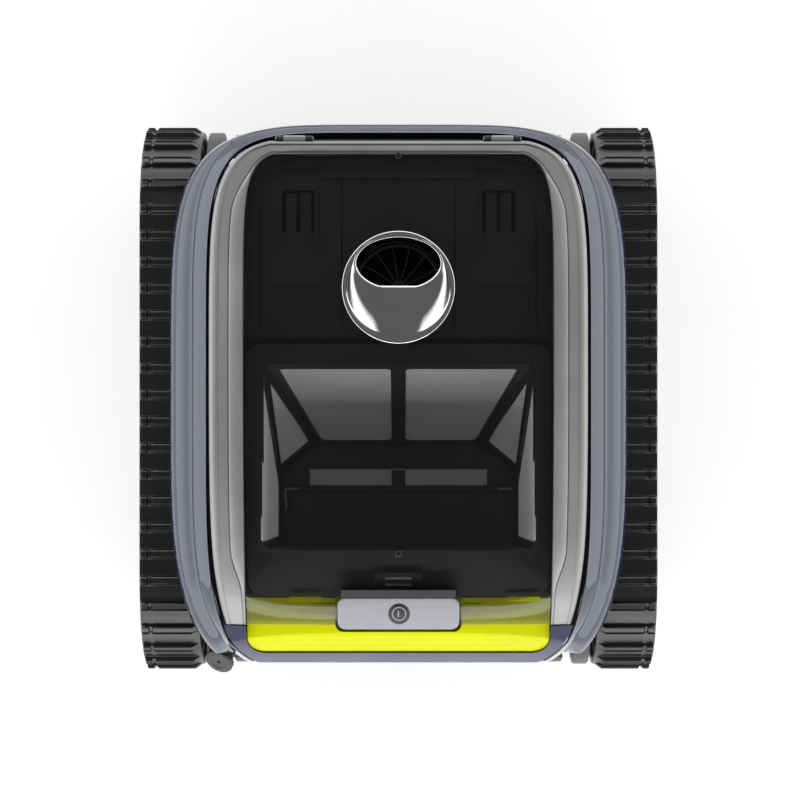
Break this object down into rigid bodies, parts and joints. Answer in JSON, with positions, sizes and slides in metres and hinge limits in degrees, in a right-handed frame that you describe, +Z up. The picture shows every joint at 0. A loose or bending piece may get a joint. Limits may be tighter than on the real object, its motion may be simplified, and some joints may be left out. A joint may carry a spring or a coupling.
{
  "type": "pool cleaner",
  "caption": "Tracked robotic pool cleaner with a hinged smoked lid, chromed water outlet, lift-out filter canister with a bright handle, brush rollers and rubber track belts.",
  "frame": {"origin": "on the ground under the middle of the bounding box", "axes": "+Z up, front (handle and intake side) towards -Y, +X to the machine's left-to-right in plan"},
  "size_m": [0.4, 0.4318, 0.2625],
  "materials": {
    "navy_gloss": "glossy moulded plastic",
    "silver_satin": "satin metallic plastic",
    "smoked_clear": "polished smoked clear plastic",
    "black_plastic": "fine moulded texture",
    "grey_plastic": "fine moulded texture",
    "black_rubber": "matt moulded rubber",
    "yellow_plastic": "glossy fluorescent plastic",
    "filter_mesh": "woven nylon mesh",
    "chrome": "polished",
    "badge_silver": "fine brushed",
    "steel": "brushed",
    "board_green": "solder mask"
  },
  "bodies": {
    "chassis": {"chassis_tub": "black_plastic", "upper_deck": "black_plastic", "body_rim": "navy_gloss", "left_fender": "navy_gloss", "right_fender": "navy_gloss", "rear_cover": "navy_gloss", "front_fascia": "navy_gloss", "gland_body": "grey_plastic", "gland_cap": "grey_plastic", "intake_duct": "black_plastic", "intake_skirt": "black_rubber", "right_track_belt": "black_rubber", "left_track_belt": "black_rubber", "right_side_frame": "grey_plastic", "left_side_frame": "grey_plastic", "right_hub_panel": "grey_plastic", "left_hub_panel": "grey_plastic", "motor_housing": "black_plastic", "motor_cover": "black_plastic", "pump_motor": "steel", "right_traction_motor": "steel", "left_traction_motor": "steel", "control_board": "board_green", "pump_duct": "black_plastic", "lid_gasket": "black_rubber", "right_hinge_pin": "steel", "left_hinge_pin": "steel"},
    "right_rear_wheel": {"right_rear_wheel": "grey_plastic"},
    "left_rear_wheel": {"left_rear_wheel": "grey_plastic"},
    "right_front_wheel": {"right_front_wheel": "grey_plastic"},
    "left_front_wheel": {"left_front_wheel": "grey_plastic"},
    "right_rear_brush": {"right_rear_brush": "black_rubber"},
    "left_rear_brush": {"left_rear_brush": "black_rubber"},
    "right_front_brush": {"right_front_brush": "black_rubber"},
    "left_front_brush": {"left_front_brush": "black_rubber"},
    "impeller": {"impeller": "grey_plastic", "impeller_shaft": "steel"},
    "lid": {"lid_frame": "silver_satin", "lid_window": "smoked_clear", "outlet_nozzle": "chrome", "outlet_grille": "black_plastic", "nozzle_collar": "black_plastic", "rear_screw": "black_plastic", "front_screw": "black_plastic"},
    "release": {"release_plate": "badge_silver", "release_hook": "black_plastic"},
    "canister": {"filter_frame": "black_plastic", "filter_handle": "yellow_plastic", "right_rear_mesh": "filter_mesh", "left_rear_mesh": "filter_mesh", "right_side_mesh": "filter_mesh", "left_side_mesh": "filter_mesh", "right_corner_mesh": "filter_mesh", "left_corner_mesh": "filter_mesh", "floor_mesh": "filter_mesh", "flap_rod": "steel", "flap_spring": "steel"},
    "intake_flap": {"intake_flap": "black_plastic"},
    "canister_latch": {"canister_latch": "black_plastic"}
  },
  "joints": [
    {"name": "right_rear_wheel_spin", "type": "hinge", "parent": "chassis", "child": "right_rear_wheel", "pos_m": [0.177, 0.136, 0.08], "axis": [1, 0, 0], "continuous": true},
    {"name": "right_front_wheel_spin", "type": "hinge", "parent": "chassis", "child": "right_front_wheel", "pos_m": [0.177, -0.136, 0.08], "axis": [1, 0, 0], "continuous": true},
    {"name": "right_rear_brush_spin", "type": "hinge", "parent": "chassis", "child": "right_rear_brush", "pos_m": [0.07, 0.179, 0.037], "axis": [1, 0, 0], "continuous": true},
    {"name": "right_front_brush_spin", "type": "hinge", "parent": "chassis", "child": "right_front_brush", "pos_m": [0.07, -0.179, 0.037], "axis": [1, 0, 0], "continuous": true},
    {"name": "left_rear_wheel_spin", "type": "hinge", "parent": "chassis", "child": "left_rear_wheel", "pos_m": [-0.177, 0.136, 0.08], "axis": [1, 0, 0], "continuous": true},
    {"name": "left_front_wheel_spin", "type": "hinge", "parent": "chassis", "child": "left_front_wheel", "pos_m": [-0.177, -0.136, 0.08], "axis": [1, 0, 0], "continuous": true},
    {"name": "left_rear_brush_spin", "type": "hinge", "parent": "chassis", "child": "left_rear_brush", "pos_m": [-0.07, 0.179, 0.037], "axis": [1, 0, 0], "continuous": true},
    {"name": "left_front_brush_spin", "type": "hinge", "parent": "chassis", "child": "left_front_brush", "pos_m": [-0.07, -0.179, 0.037], "axis": [1, 0, 0], "continuous": true},
    {"name": "impeller_spin", "type": "hinge", "parent": "chassis", "child": "impeller", "pos_m": [0, 0.082, 0.19], "axis": [0, 0, 1], "continuous": true},
    {"name": "lid_hinge", "type": "hinge", "parent": "chassis", "child": "lid", "pos_m": [0, 0.194, 0.213], "axis": [-1, 0, 0], "range_deg": [0, 80]},
    {"name": "release_press", "type": "hinge", "parent": "lid", "child": "release", "pos_m": [0, -0.15, 0.2125], "axis": [1, 0, 0], "range_deg": [0, 6], "stiffness_Nm_per_rad": 0.3, "springref_deg": -2.86},
    {"name": "canister_lift", "type": "slide", "parent": "chassis", "child": "canister", "axis": [0, 0, 1], "range_m": [0, 0.14]},
    {"name": "canister_latch_slide", "type": "slide", "parent": "canister", "child": "canister_latch", "axis": [0, 0.9411, 0.338], "range_m": [0, 0.004], "stiffness_N_per_m": 150, "springref_m": -0.004},
    {"name": "intake_flap_hinge", "type": "hinge", "parent": "canister", "child": "intake_flap", "pos_m": [0, -0.073, 0.0624], "axis": [-1, 0, 0], "range_deg": [0, 70], "stiffness_Nm_per_rad": 0.01, "springref_deg": -17.19}
  ],
  "couplings": [
    {"joint": "right_rear_brush_spin", "follows": "right_rear_wheel_spin", "ratio": 1.6},
    {"joint": "right_front_brush_spin", "follows": "right_rear_wheel_spin", "ratio": 1.6},
    {"joint": "right_front_wheel_spin", "follows": "right_rear_wheel_spin", "ratio": 1},
    {"joint": "left_rear_brush_spin", "follows": "left_rear_wheel_spin", "ratio": 1.6},
    {"joint": "left_front_brush_spin", "follows": "left_rear_wheel_spin", "ratio": 1.6},
    {"joint": "left_front_wheel_spin", "follows": "left_rear_wheel_spin", "ratio": 1},
    {"joint": "canister_lift", "follows": "lid_hinge", "m_per_rad": 0.1}
  ]
}
